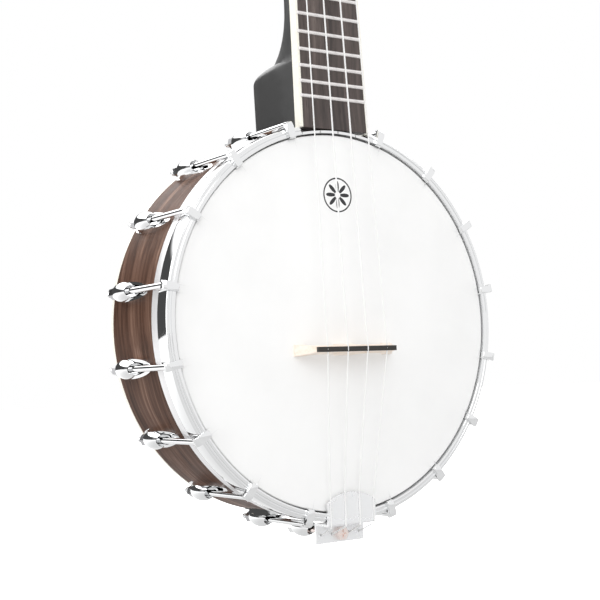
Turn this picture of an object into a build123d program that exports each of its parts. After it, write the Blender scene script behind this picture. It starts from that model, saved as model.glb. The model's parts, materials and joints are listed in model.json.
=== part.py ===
from build123d import *
import math
import os

# Banjo ukulele: an open-backed 8 inch pot with sixteen hooks, a bound fretboard and a geared headstock.
# Millimetres. +Z runs up the neck, the drumhead faces -Y and +X is the right side seen from the front.
# The origin is the middle of the nut, on the plane of the fretboard's top.

# ---- driving dimensions -------------------------------------------------------------------------------
SCALE = 373.5                # nut to bridge
FRETS = 18
NECK_TILT = 2.5              # the neck leans back from the drumhead's plane
TOUCH = 0.05                 # radial clearance of a screw, rod or shaft in its hole
AIR = 0.3                    # gap between pieces that move past each other

# pot, depths measured back from the front of the tension hoop
POT_R = 101.5                # outer radius of the wood rim
RIM_WALL = 12.0
POT_DEPTH = 64.0
BRIDGE_BELOW_CENTRE = 14.6
HOOP_WALL = 4.6
HOOP_PROUD = 2.0             # the hoop stands out past the wood
HOOP_DEPTH = 10.0
HOOP_BEAD = 0.6              # step round the hoop's outer front edge
GROOVE_FROM_INNER = 2.2      # the groove turned in the hoop's front face
GROOVE_HALF = 0.25
GROOVE_SUNK = 0.3
FLESH_DEPTH = 6.4
HEAD_SINK = 1.2              # the drumhead lies this far behind the hoop's front
FILM = 0.25
COLLAR_GAP = 0.75            # between the turned-down film and the tension hoop
LEDGE_GAP = 3.2              # travel left under the flesh hoop
TONE_WIDTH = 5.6
TONE_DEPTH = 3.95
BINDING_W = 1.8
BINDING_D = 2.1

# hooks and shoes
HOOKS_PER_SIDE = 8
HOOK_FIRST = 16.4            # degrees from the neck to the first hook
HOOK_STEP = 21.25
HOOK_ROD = 3.2
HOOK_LENGTH = 61.0
CLAW_WIDTH = 4.4
CLAW_THICK = 1.6
CLAW_LIP = 0.6
CLAW_AIR = 0.2               # between the claw's lip and the hoop's inner wall
CLAW_LIP_DEPTH = 0.8
CLAW_BEND = 3.0              # outer radius where the rod turns over the hoop
SHOE_LENGTH = 37.0
SHOE_WIDTH = 10.2
SHOE_BASE = 1.6              # how far its screw goes into it
SHOE_EDGE = 1.0              # height of the foot's rim at its tips
SHOE_RIM = 3.4               # and beside the eye
SHOE_FLOOR = 0.7
SHOE_WALL = 1.4
SHOE_MOUTH_R = 3.0           # the hollow that the rod enters
SHOE_BACK_MARGIN = 4.0       # from the shoe's back end to the rim's back face
EYE_D = 9.0
EYE_LENGTH = 10.0
EYE_FROM_BACK = 10.0         # from the shoe's back end to the eye's back face
TAIL_EYE_RISE = 4.4          # the tail shoe holds its eye this much higher
HOOK_NUT_AF = 5.6
HOOK_NUT_H = 5.2
SHOE_SCREW_D = 3.9
SHOE_SCREW_HEAD = 7.0
WASHER_D = 9.0
WASHER_T = 0.9

# coordinator rod between the heel and the tail
ROD_D = 9.0
HEEL_BOLT_D = 6.0
HEEL_BOLT_IN_WOOD = 26.0
ROD_NUT_H = 4.5
ROD_NUT_AF = 12.0
TAIL_NUT_AF = 7.8

# fretboard and neck, distances measured down from the nut
BOARD_GAP = 0.66             # from the board's end to what is left of the hoop in the notch
BOARD_TOP_W = 35.0
BOARD_END_W = 44.0
BOARD_T = 5.2
BINDING_T = 1.5
FRET_W = 2.1
FRET_H = 1.0
FRET_END = 0.5               # from a fret's end to the board's edge
DOT_D = 5.0
NUT_T = 4.0
NUT_RISE = 2.1
NECK_DEPTH_TOP = 14.0
HEEL_ABOVE_END = 40.7        # from the board's end up to the heel's shoulder
FRET_MARGIN = 4.0            # no fret is nearer the board's end than this
HEEL_DEPTH = 62.0
HEEL_FULLNESS = 2.8          # 2 would make the heel's plan an ellipse, more makes it squarer
HEEL_ROUND = 5.0             # rounding of the heel's shoulder
NECK_SWEEP_STEP = 5.0        # the neck deepens into the heel through sections this far apart,
NECK_SWEEP = (0.317, 0.322, 0.342, 0.383, 0.447, 0.545, 0.69, 0.80)   # as shares of its depth
NECK_SWEEP_ABOVE = 6         # of which this many lie above the shoulder
NECK_INSET = 0.3             # the neck's sides stay this far inside the heel's
HOOP_NOTCH_LIP = 1.4         # hoop wall left standing in front of the fretboard's end
NOTCH_FLOOR = 6.2
NOTCH_SIDE = 0.4             # air each side of the board in the notch

# headstock, in a plane leaning back from the neck
HEAD_TILT = 12.0
HEAD_LENGTH = 118.0
HEAD_T = 13.0
VENEER = 1.2
HEAD_HALF_NARROW = 19.5
HEAD_HALF_WIDE = 31.0
TUNER_X = 19.0
TUNER_LOW = 42.0
TUNER_PITCH = 40.0

# tuners
POST_R = 3.0
POST_NECK_R = 2.0
POST_RISE = 12.0             # above the veneer
STRING_RISE = 6.0            # the winding's middle above the veneer
GROOVE_L = 4.8
GROOVE_DEPTH = 0.5
BUSHING_R = 4.4
BUSHING_FLANGE_R = 6.2
GEAR_R = 4.2
GEAR_TEETH = 14
GEAR_T = 4.0
WORM_R = 2.1
WORM_L = 7.0
SHAFT_R = 1.5
PLATE_T = 1.2
COVER_D = 8.2
COVER_HALF = 7.0
BUTTON_L = 12.0
BUTTON_W = 15.0
BUTTON_T = 7.5
BUTTON_CLEAR = 3.0           # from the headstock's edge

# strings, bridge and tailpiece
STRING_R = (0.35, 0.42, 0.45, 0.35)
NUT_SPACING = 9.0
BRIDGE_SPACING = 12.7
TAIL_SPACING = 9.2
HOLE_XS = (-12.2, -5.4, 5.4, 12.2)
BRIDGE_H = 13.6
BRIDGE_BASE = 62.0
BRIDGE_TOP = 50.0
BRIDGE_FOOT_T = 6.0
BRIDGE_CAP_T = 2.6
CAP_H = 1.6
SLOT_DEPTH = 0.7             # how deep a string lies in the nut and the bridge
SHEET = 1.3                  # tailpiece metal
TAIL_HALF = 15.2
TAIL_TOP_FROM_HOOP = 11.0    # reach of the tailpiece inside the hoop's inner edge
TAIL_ARCH = 5.2              # rise of its arched end
TAIL_STEP = 10.0             # the lower plate stands this far behind the hoop's front
TAIL_PLATE = 9.7
TAIL_BEND = 1.2
TAIL_BOLT_D = 3.6
TAIL_BOLT_HEAD = 6.4

# ---- places that follow from the sizes above ----------------------------------------------------------
HOOP_R = POT_R + HOOP_PROUD
HOOP_INNER = HOOP_R - HOOP_WALL
COLLAR_R = HOOP_INNER - COLLAR_GAP
RIM_INNER = POT_R - RIM_WALL
BEARING_R = COLLAR_R - FILM - AIR
LEDGE_Y = HOOP_DEPTH + FLESH_DEPTH + LEDGE_GAP
RIM_FRONT = HEAD_SINK + FILM + TONE_DEPTH
HOOK_R = HOOP_R + 0.5 + HOOK_ROD / 2
SHOE_BACK = POT_DEPTH - SHOE_BACK_MARGIN
EYE_BACK = SHOE_BACK - EYE_FROM_BACK
EYE_Y = EYE_BACK - EYE_LENGTH / 2
TAIL_R = HOOK_R + TAIL_EYE_RISE
HOOK_ANGLES = [s * (HOOK_FIRST + HOOK_STEP * k) for s in (-1, 1) for k in range(HOOKS_PER_SIDE)]
TILT = math.radians(NECK_TILT)
BRIDGE_Z = -SCALE * math.cos(TILT / 2)
POT_Z = BRIDGE_Z + BRIDGE_BELOW_CENTRE
BOARD_LENGTH = (-POT_Z - HOOP_INNER - HOOP_NOTCH_LIP - BOARD_GAP) / math.cos(TILT)
HEEL_TOP = BOARD_LENGTH - HEEL_ABOVE_END
BOARD_END_DROP = 0.3         # the board's end stands this far in front of the hoop
POT_Y = -BOARD_LENGTH * math.sin(TILT) + BOARD_END_DROP
NECK = Rot(-NECK_TILT, 0, 0)
HEAD_FRONT = VENEER
HEAD = NECK * Pos(0, HEAD_FRONT, NUT_T) * Rot(-HEAD_TILT, 0, 0)
POT = Pos(0, POT_Y, POT_Z)
TUNERS = [(-1, 0), (-1, 1), (1, 1), (1, 0)]   # side and row, in the order of the strings
COIL_Y = -VENEER - STRING_RISE


# ---- helpers ------------------------------------------------------------------------------------------
def ring(points):
    """A ring round the pot's axis from a profile of (radius, depth) points."""
    return revolve(Polygon(*points, align=None), Axis.Y)


def band(inner, outer, front, back):
    return ring([(inner, front), (outer, front), (outer, back), (inner, back)])


def block(x, y, z):
    """A box from three (low, high) pairs."""
    size = [b - a for a, b in (x, y, z)]
    return Pos(*[(a + b) / 2 for a, b in (x, y, z)]) * Box(*size)


def rod_y(radius, y0, y1, x=0.0, z=0.0):
    return Pos(x, (y0 + y1) / 2, z) * Rot(90, 0, 0) * Cylinder(radius, y1 - y0)


def rod_x(radius, x0, x1, y=0.0, z=0.0):
    return Pos((x0 + x1) / 2, y, z) * Rot(0, 90, 0) * Cylinder(radius, x1 - x0)


def rod_z(radius, z0, z1, x=0.0, y=0.0):
    return Pos(x, y, (z0 + z1) / 2) * Cylinder(radius, z1 - z0)


def slab(sketch, y0, y1):
    """A plate whose outline is drawn across X and up Z."""
    return Pos(0, y1, 0) * Rot(90, 0, 0) * extrude(sketch, y1 - y0, dir=(0, 0, 1))


def side(sketch, half):
    """A prism whose outline is drawn as (depth, height), as wide as twice half."""
    return Rot(0, 0, 90) * Rot(90, 0, 0) * extrude(sketch, half, both=True)


def hexagon(across_flats):
    return RegularPolygon(across_flats / 2, 6, major_radius=False)


def hex_y(across_flats, y0, y1, z):
    return Pos(0, y1, z) * Rot(90, 0, 0) * extrude(hexagon(across_flats), y1 - y0, dir=(0, 0, 1))


def turned(shape, degrees):
    return Rot(0, degrees, 0) * shape


def point(place, x, y, z):
    return (place * Pos(x, y, z)).position


def wire_run(points, radius):
    """A round wire through the points, with a ball at each bend."""
    run = None
    for a, b in zip(points, points[1:]):
        piece = Plane(origin=a, z_dir=b - a) * Cylinder(
            radius, (b - a).length, align=(Align.CENTER, Align.CENTER, Align.MIN))
        run = piece if run is None else run + piece
    for bend in points[1:-1]:
        run = run + Pos(bend) * Sphere(radius)
    return run


NODES = {}


def node(name, shapes):
    """Keep a node, as one solid or as a group of separate solids."""
    solids = [s for shape in (shapes if isinstance(shapes, list) else [shapes]) for s in shape.solids()]
    NODES[name] = solids[0] if len(solids) == 1 else Compound(children=solids)


# ---- pot ----------------------------------------------------------------------------------------------
def pot():
    shank = SHOE_SCREW_D / 2
    rim = ring([(RIM_INNER, RIM_FRONT), (BEARING_R, RIM_FRONT), (BEARING_R, LEDGE_Y), (POT_R, LEDGE_Y),
                (POT_R, POT_DEPTH - BINDING_D), (POT_R - BINDING_W, POT_DEPTH - BINDING_D),
                (POT_R - BINDING_W, POT_DEPTH), (RIM_INNER, POT_DEPTH)])
    for a in HOOK_ANGLES + [180]:
        hole = rod_z(shank + TOUCH, RIM_INNER - 5, POT_R + 5, 0, EYE_Y)
        seat = rod_z(WASHER_D / 2 + AIR, RIM_INNER - 5, RIM_INNER + 0.3, 0, EYE_Y)
        rim = rim - turned(hole, a) - turned(seat, a)
    heel_seat = rod_z(ROD_NUT_AF * 0.62, RIM_INNER - 5, RIM_INNER + 0.5, 0, EYE_Y)
    rim = rim - heel_seat - rod_z(HEEL_BOLT_D / 2 + TOUCH, RIM_INNER - 5, POT_R + 5, 0, EYE_Y)
    node("rim", POT * rim)
    node("rim_back_binding", POT * band(POT_R - BINDING_W, POT_R, POT_DEPTH - BINDING_D, POT_DEPTH))

    tone = Polygon((BEARING_R - TONE_WIDTH, RIM_FRONT - TONE_DEPTH), (BEARING_R, RIM_FRONT - TONE_DEPTH),
                   (BEARING_R, RIM_FRONT), (BEARING_R - TONE_WIDTH, RIM_FRONT), align=None)
    tone = fillet(tone.vertices().sort_by(Axis.Y)[:2], TONE_DEPTH * 0.5)
    node("tone_ring", POT * revolve(tone, Axis.Y))

    film_back = HEAD_SINK + FILM
    node("drumhead", POT * rod_y(COLLAR_R, HEAD_SINK, film_back))
    node("drumhead_collar", POT * band(COLLAR_R - FILM, COLLAR_R, film_back, HOOP_DEPTH + FLESH_DEPTH / 2))
    node("flesh_hoop", POT * band(COLLAR_R, HOOP_R - 0.2, HOOP_DEPTH, HOOP_DEPTH + FLESH_DEPTH))

    bead = HOOP_BEAD
    middle = HOOP_INNER + GROOVE_FROM_INNER
    hoop = ring([(HOOP_INNER, 0), (middle - GROOVE_HALF, 0), (middle, GROOVE_SUNK), (middle + GROOVE_HALF, 0),
                 (HOOP_R - 2 * bead, 0), (HOOP_R - 2 * bead, bead), (HOOP_R - bead, bead),
                 (HOOP_R, 2 * bead), (HOOP_R, HOOP_DEPTH), (HOOP_INNER, HOOP_DEPTH)])
    half = BOARD_END_W / 2 + NOTCH_SIDE
    notch = block((-half, half), (-5, NOTCH_FLOOR), (0, POT_R * 2))
    notch = notch - rod_y(HOOP_INNER + HOOP_NOTCH_LIP, -9, 40)
    node("tension_hoop", POT * (hoop - notch))


# ---- hooks, shoes and their screws --------------------------------------------------------------------
def hook():
    """One hook at the top of the pot: a flat claw over the hoop and a round threaded rod."""
    lip = HOOP_INNER - CLAW_AIR
    low = lip - CLAW_LIP
    high = HOOK_R + HOOK_ROD / 2
    turn = CLAW_BEND - CLAW_THICK + TOUCH
    profile = Polygon((-CLAW_THICK, low), (-CLAW_THICK, high), (turn, high), (turn, high - HOOK_ROD),
                      (0, high - HOOK_ROD), (0, lip), (CLAW_LIP_DEPTH, lip), (CLAW_LIP_DEPTH, low),
                      align=None)
    front = profile.vertices().sort_by(Axis.X)[:2].sort_by(Axis.Y)
    profile = fillet(front[1], CLAW_BEND)
    profile = fillet(profile.vertices().sort_by(Axis.X)[0:3].sort_by(Axis.Y)[0], CLAW_THICK / 2)
    claw = side(profile, CLAW_WIDTH / 2)
    return claw + rod_y(HOOK_ROD / 2, 0, HOOK_LENGTH, 0, HOOK_R)


def shoe(eye_r, rod, nut_width):
    """One bracket shoe at the top of the pot: an oval foot under a tapering dome that takes the rod."""
    front = SHOE_BACK - SHOE_LENGTH
    middle = (front + SHOE_BACK) / 2
    half = SHOE_WIDTH / 2
    dome_r = eye_r + EYE_D / 2 - half
    eye_front = EYE_BACK - EYE_LENGTH
    plan = Ellipse(half, SHOE_LENGTH / 2)
    inside = Ellipse(half - SHOE_WALL, SHOE_LENGTH / 2 - 2.4 * SHOE_WALL)
    edge, rim = POT_R + SHOE_EDGE, POT_R + SHOE_RIM
    profile = side(Polygon((front, POT_R - 3), (front, edge), (eye_front - 2, rim), (EYE_BACK, rim),
                           (SHOE_BACK, edge), (SHOE_BACK, POT_R - 3), align=None), SHOE_WIDTH)
    foot = (Pos(0, middle, POT_R - 2) * extrude(plan, SHOE_RIM + 4)) & profile
    foot = foot - Pos(0, middle, POT_R + SHOE_FLOOR) * extrude(inside, SHOE_RIM + 4)
    tip = eye_front - 0.75 * (eye_front - front)
    run = eye_front - tip
    curve = Spline((0, tip), (half * 0.36, tip + run * 0.24), (half * 0.62, tip + run * 0.68),
                   (half * 0.9, eye_front), (half, eye_front + 2.6), (half * 0.96, EYE_Y + 2.0),
                   (half * 0.8, EYE_BACK))
    close = Polyline((half * 0.8, EYE_BACK), (0, EYE_BACK), (0, tip))
    dome = Pos(0, 0, dome_r) * revolve(make_face([curve, close]), Axis.Y)
    web = block((-half * 0.7, half * 0.7), (eye_front + 1, EYE_BACK), (POT_R, dome_r))
    body = foot + dome + web
    body = body - rod_y(SHOE_MOUTH_R, front - 5, eye_front, 0, eye_r)
    body = body - rod_y(rod / 2 + AIR, front - 5, SHOE_BACK + 9, 0, eye_r)
    seat = eye_r - nut_width * 0.6
    body = body - block((-9, 9), (EYE_BACK, EYE_BACK + HOOK_NUT_H + 9), (seat, eye_r + 9))
    body = body - rod_z(SHOE_SCREW_D / 2 + TOUCH, POT_R - 9, POT_R + SHOE_BASE, 0, EYE_Y)
    return body - rod_y(POT_R, -5, POT_DEPTH + 5)


def shoe_screw():
    seat = RIM_INNER + 0.3 - WASHER_T
    screw = rod_z(SHOE_SCREW_D / 2, seat, POT_R + SHOE_BASE, 0, EYE_Y)
    head = rod_z(SHOE_SCREW_HEAD / 2, seat - 2.4, seat, 0, EYE_Y)
    return screw + head - Pos(0, EYE_Y, seat - 2.4) * Box(0.9, SHOE_SCREW_HEAD + 1, 2)


def shoe_washer():
    seat = RIM_INNER + 0.3
    return rod_z(WASHER_D / 2, seat - WASHER_T, seat, 0, EYE_Y) - rod_z(
        SHOE_SCREW_D / 2 + TOUCH, seat - 2, seat + 1, 0, EYE_Y)


def hardware():
    nut = hex_y(HOOK_NUT_AF, EYE_BACK, EYE_BACK + HOOK_NUT_H, HOOK_R) - rod_y(
        HOOK_ROD / 2 + TOUCH, 0, 99, 0, HOOK_R)
    one_hook, one_screw, one_washer = hook(), shoe_screw(), shoe_washer()
    one_shoe = shoe(HOOK_R, HOOK_ROD, HOOK_NUT_AF)
    node("bracket_hooks", [POT * turned(one_hook, a) for a in HOOK_ANGLES])
    node("bracket_shoes", [POT * turned(one_shoe, a) for a in HOOK_ANGLES])
    node("hook_nuts", [POT * turned(nut, a) for a in HOOK_ANGLES])
    node("shoe_screws", [POT * turned(one_screw, a) for a in HOOK_ANGLES])
    node("shoe_washers", [POT * turned(one_washer, a) for a in HOOK_ANGLES])
    node("tail_bracket", POT * turned(shoe(TAIL_R, TAIL_BOLT_D, TAIL_BOLT_HEAD), 180))

    tail_nut_face = RIM_INNER + 0.3 - ROD_NUT_H
    heel_nut_face = RIM_INNER + 0.5 - ROD_NUT_H
    rod = rod_z(ROD_D / 2, -tail_nut_face, heel_nut_face, 0, EYE_Y)
    rod = rod - rod_z(HEEL_BOLT_D / 2 + TOUCH, heel_nut_face - 18, heel_nut_face + 5, 0, EYE_Y)
    rod = rod - rod_z(SHOE_SCREW_D / 2 + TOUCH, -tail_nut_face - 1, -tail_nut_face + 14, 0, EYE_Y)
    node("coordinator_rod", POT * rod)
    thick = ROD_NUT_H
    tail_nut = Pos(0, EYE_Y, -tail_nut_face - thick) * extrude(hexagon(TAIL_NUT_AF), thick)
    tail_nut = tail_nut - rod_z(SHOE_SCREW_D / 2 + TOUCH, -200, 0, 0, EYE_Y)
    heel_nut = Pos(0, EYE_Y, heel_nut_face) * extrude(hexagon(ROD_NUT_AF), thick)
    heel_nut = heel_nut - rod_z(HEEL_BOLT_D / 2 + TOUCH, 0, 200, 0, EYE_Y)
    node("rod_nuts", [POT * tail_nut, POT * heel_nut])
    node("heel_bolt", POT * rod_z(HEEL_BOLT_D / 2, heel_nut_face - 18, POT_R + HEEL_BOLT_IN_WOOD, 0, EYE_Y))
    node("tail_screw", POT * rod_z(SHOE_SCREW_D / 2, -POT_R - SHOE_BASE, -tail_nut_face + 14, 0, EYE_Y))


# ---- neck ---------------------------------------------------------------------------------------------
def board_half(s):
    return (BOARD_TOP_W + (BOARD_END_W - BOARD_TOP_W) * s / BOARD_LENGTH) / 2


def taper(s0, s1, y0, y1, inset=0.0):
    """A tapering plate that follows the fretboard's sides from s0 to s1 below the nut."""
    a, b = board_half(s0) - inset, board_half(s1) - inset
    return slab(Polygon((-a, -s0), (a, -s0), (b, -s1), (-b, -s1), align=None), y0, y1)


def d_section(s, depth):
    """Half an oval under the fretboard, s below the nut."""
    half = min(board_half(s), board_half(HEEL_TOP) - NECK_INSET)
    points = []
    for k in range(-4, 5):
        turn = math.pi / 8 * k
        points.append((half * math.sin(turn), BOARD_T + depth * max(math.cos(turn), 0.0)))
    outline = Spline(*points, tangents=[(0, 1), (0, -1)])
    return Pos(0, 0, -s) * make_face([outline, Line(points[-1], points[0])])


def heel_plan():
    """The heel's outline seen from its end, between an oval and a rectangle."""
    half, deep, power = board_half(HEEL_TOP), HEEL_DEPTH - BOARD_T, 2 / HEEL_FULLNESS
    points = []
    for k in range(-6, 7):
        turn = math.pi / 12 * k
        across = math.copysign(abs(math.sin(turn)) ** power, turn) * half
        points.append((across, BOARD_T + max(math.cos(turn), 0.0) ** power * deep))
    outline = Spline(*points, tangents=[(0, 1), (0, -1)])
    return make_face([outline, Line(points[-1], points[0])])


def neck():
    deep = HEEL_DEPTH - BOARD_T
    first = HEEL_TOP - NECK_SWEEP_STEP * NECK_SWEEP_ABOVE
    sweep = [d_section(first + NECK_SWEEP_STEP * k, deep * share) for k, share in enumerate(NECK_SWEEP)]
    shaft = loft([d_section(-NUT_T, NECK_DEPTH_TOP), sweep[0]])
    low = BOARD_LENGTH + 14
    heel = Pos(0, 0, -low) * extrude(heel_plan(), low - HEEL_TOP)
    shoulder = heel.faces().sort_by(Axis.Z)[-1].edges().sort_by(SortBy.LENGTH)[-1]
    heel = fillet(shoulder, HEEL_ROUND)
    shaft = shaft + loft(sweep) + heel
    head = Pos(0, HEAD_FRONT, NUT_T) * Rot(-HEAD_TILT, 0, 0) * headstock()
    volute = loft([Pos(0, 0, 3) * d_section(-NUT_T, NECK_DEPTH_TOP - 0.3),
                   Pos(0, 0, 22) * d_section(-NUT_T, 11.0)])
    head = head + (volute & block((-40, 40), (HEAD_FRONT + 6, 60), (-9, 60)))
    nut_seat = block((-40, 40), (-40, BOARD_T), (-40, NUT_T))
    body = NECK * (shaft + head - nut_seat)
    clear = rod_y(POT_R, -9, POT_DEPTH + 30) + rod_y(HOOP_R + 0.6, -9, LEDGE_Y)
    body = body - POT * clear
    bolt = rod_z(HEEL_BOLT_D / 2 + TOUCH, 0, POT_R + HEEL_BOLT_IN_WOOD + 1, 0, EYE_Y)
    body = body - POT * bolt
    for x, h in tuner_places():
        hole = rod_y(BUSHING_R + TOUCH, -5, HEAD_T + 5, x, h)
        body = body - HEAD * hole
        for dh in tuner_screw_offsets():
            body = body - HEAD * rod_y(1.2 + TOUCH, HEAD_T - 9.5, HEAD_T + 5, x, h + dh)
    node("neck", body)


def headstock():
    face = head_outline()
    return slab(face, 0, HEAD_T)


def head_outline():
    """A plain paddle: it flares from the nut to the lower tuners and ends in a shallow crown."""
    n, w, top = HEAD_HALF_NARROW, HEAD_HALF_WIDE, HEAD_LENGTH
    right = Spline((n, 0), (n + 1.2, 9), (w - 2.6, 24), (w, 34), tangents=[(0, 1), (0, 1)])
    edge = Line((w, 34), (w - 1.5, top - 16))
    shoulder = ThreePointArc((w - 1.5, top - 16), (w - 7.5, top - 7), (w - 17, top - 4))
    crown = ThreePointArc((w - 17, top - 4), (0, top), (-(w - 17), top - 4))
    left_shoulder = ThreePointArc((-(w - 17), top - 4), (-(w - 7.5), top - 7), (-(w - 1.5), top - 16))
    left_edge = Line((-(w - 1.5), top - 16), (-w, 34))
    left = Spline((-w, 34), (-(w - 2.6), 24), (-(n + 1.2), 9), (-n, 0), tangents=[(0, -1), (0, -1)])
    return make_face([right, edge, shoulder, crown, left_shoulder, left_edge, left, Line((-n, 0), (n, 0))])


def fret_place(n):
    return SCALE * (1 - 2 ** (-n / 12))


def fretboard():
    board = taper(0, BOARD_LENGTH, 0, BOARD_T, BINDING_T)
    dots = []
    for fret, xs in ((3, [0]), (5, [0]), (7, [0]), (10, [0]), (12, [-9, 9])):
        s = (fret_place(fret - 1) + fret_place(fret)) / 2
        for x in xs:
            dots.append(rod_y(DOT_D / 2, 0, 1.0, x, -s))
            board = board - rod_y(DOT_D / 2 + TOUCH / 5, -1, 1.0, x, -s)
    full = taper(0, BOARD_LENGTH, 0, BOARD_T)
    strips = full - taper(-1, BOARD_LENGTH + 1, -1, BOARD_T + 1, BINDING_T)
    node("fretboard", NECK * board)
    node("fretboard_binding", NECK * strips)
    node("position_dots", [NECK * d for d in dots])
    crown = Ellipse(FRET_W / 2, FRET_H) & (Pos(0, FRET_H) * Rectangle(FRET_W + 1, 2 * FRET_H))
    wires = []
    for n in range(1, FRETS + 1):
        s = fret_place(n)
        if s > BOARD_LENGTH - FRET_MARGIN:
            break
        end = board_half(s) - FRET_END
        sloped = slab(Polygon((-end, -FRET_W), (-end, FRET_W), (end, FRET_W), (end, -FRET_W), align=None),
                      -FRET_H, 0)
        sloped = chamfer(sloped.edges().filter_by(Axis.Z).sort_by(Axis.Y)[:2], FRET_H * 0.9)
        wire = side(Rot(0, 0, 90) * crown, board_half(s)) & sloped
        wires.append(NECK * Pos(0, 0, -s) * wire)
    node("frets", wires)


def tuner_places():
    return [(sx * TUNER_X, TUNER_LOW + row * TUNER_PITCH) for sx, row in TUNERS]


def tuner_screw_offsets():
    return (-COVER_HALF - 2.6, COVER_HALF + 6.4)


def veneer():
    plate = slab(head_outline(), -VENEER, 0)
    for x, h in tuner_places():
        plate = plate - rod_y(BUSHING_R + TOUCH, -9, 9, x, h)
    plate = HEAD * plate - NECK * block((-50, 50), (-30, 30), (-9, NUT_T))
    node("headstock_veneer", plate)


# ---- strings, nut and bridge --------------------------------------------------------------------------
def string_xs(spacing):
    return [spacing * (k - 1.5) for k in range(4)]


FOLD_Z = POT_Z - HOOP_R - SHEET
PLATE_FRONT = POT_Y + TAIL_STEP


def string_points(k):
    """Bends of string k, from its knot behind the tailpiece to its last point before the winding."""
    r = STRING_R[k]
    proud = r + TOUCH
    hole_z = POT_Z - TAIL_R
    hole_x = HOLE_XS[k]
    fold_x = string_xs(TAIL_SPACING)[k]
    head_y = POT_Y + HEAD_SINK
    over_y = POT_Y - SHEET - proud
    tip_z = tail_tip(fold_x)
    bridge = Vector(string_xs(BRIDGE_SPACING)[k], head_y - BRIDGE_H - r + SLOT_DEPTH, BRIDGE_Z)
    nut = point(NECK, string_xs(NUT_SPACING)[k], -NUT_RISE - r + SLOT_DEPTH, NUT_T / 2)
    sx, row = TUNERS[k]
    x, h = sx * TUNER_X, TUNER_LOW + row * TUNER_PITCH
    post = point(HEAD, x - sx * (POST_R + r + AIR), COIL_Y, h - 3.4)
    return [Vector(hole_x, PLATE_FRONT + SHEET + 1.0, hole_z), Vector(hole_x, PLATE_FRONT - proud, hole_z),
            Vector(fold_x, over_y, FOLD_Z - 0.7 * proud), Vector(fold_x, over_y, tip_z), bridge, nut, post]


def tail_tip(x):
    """Height of the tailpiece's arched end at x."""
    low, high = tail_arch()
    return high - (high - low) * (x / TAIL_HALF) ** 2 - 0.4


def tail_arch():
    high = POT_Z - HOOP_INNER + TAIL_TOP_FROM_HOOP
    return high - TAIL_ARCH, high


def strings():
    cutters = []
    for k in range(4):
        run = wire_run(string_points(k), STRING_R[k])
        knot = Pos(string_points(k)[0]) * Sphere(1.3)
        knot = knot - block((-40, 40), (-60, PLATE_FRONT + SHEET), (FOLD_Z - 40, FOLD_Z))
        node(f"string_{k + 1}", run + knot)
        cutters.append(wire_run(string_points(k)[1:], STRING_R[k] + 0.02))
    return cutters


def bridge_and_nut(cutters):
    head_y = POT_Y + HEAD_SINK
    cap_front = head_y - BRIDGE_H
    wood_front = cap_front + CAP_H
    h = BRIDGE_H - CAP_H
    b, t = BRIDGE_BASE / 2, BRIDGE_TOP / 2
    face = Polygon((-b, 0), (b, 0), (b, 2.2), (t + 1.5, h * 0.62), (t, h), (-t, h), (-t - 1.5, h * 0.62),
                   (-b, 2.2), align=None)
    for x in (-1, 1):
        face = face - Pos(x * b * 0.5, 0) * Ellipse(b * 0.31, h * 0.42)
        face = face - Pos(x * b * 0.28, h * 0.66) * Ellipse(3.4, 1.5)
    foot, top = BRIDGE_FOOT_T / 2, BRIDGE_CAP_T / 2
    wedge = side(Polygon((head_y, -foot), (head_y, foot), (wood_front, top), (wood_front, -top),
                         align=None), b + 5)
    body = (Pos(0, head_y, 0) * extrude(Rot(0, 0, 180) * face, 10, both=True)) & wedge
    place = Pos(0, 0, BRIDGE_Z)
    node("bridge", place * body)
    cap = place * block((-t, t), (cap_front, wood_front), (-top, top))
    nut = NECK * taper(-NUT_T, 0, -NUT_RISE, BOARD_T)
    for c in cutters:
        cap = cap - c
        nut = nut - c
    node("bridge_cap", cap)
    node("string_nut", nut)


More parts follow.
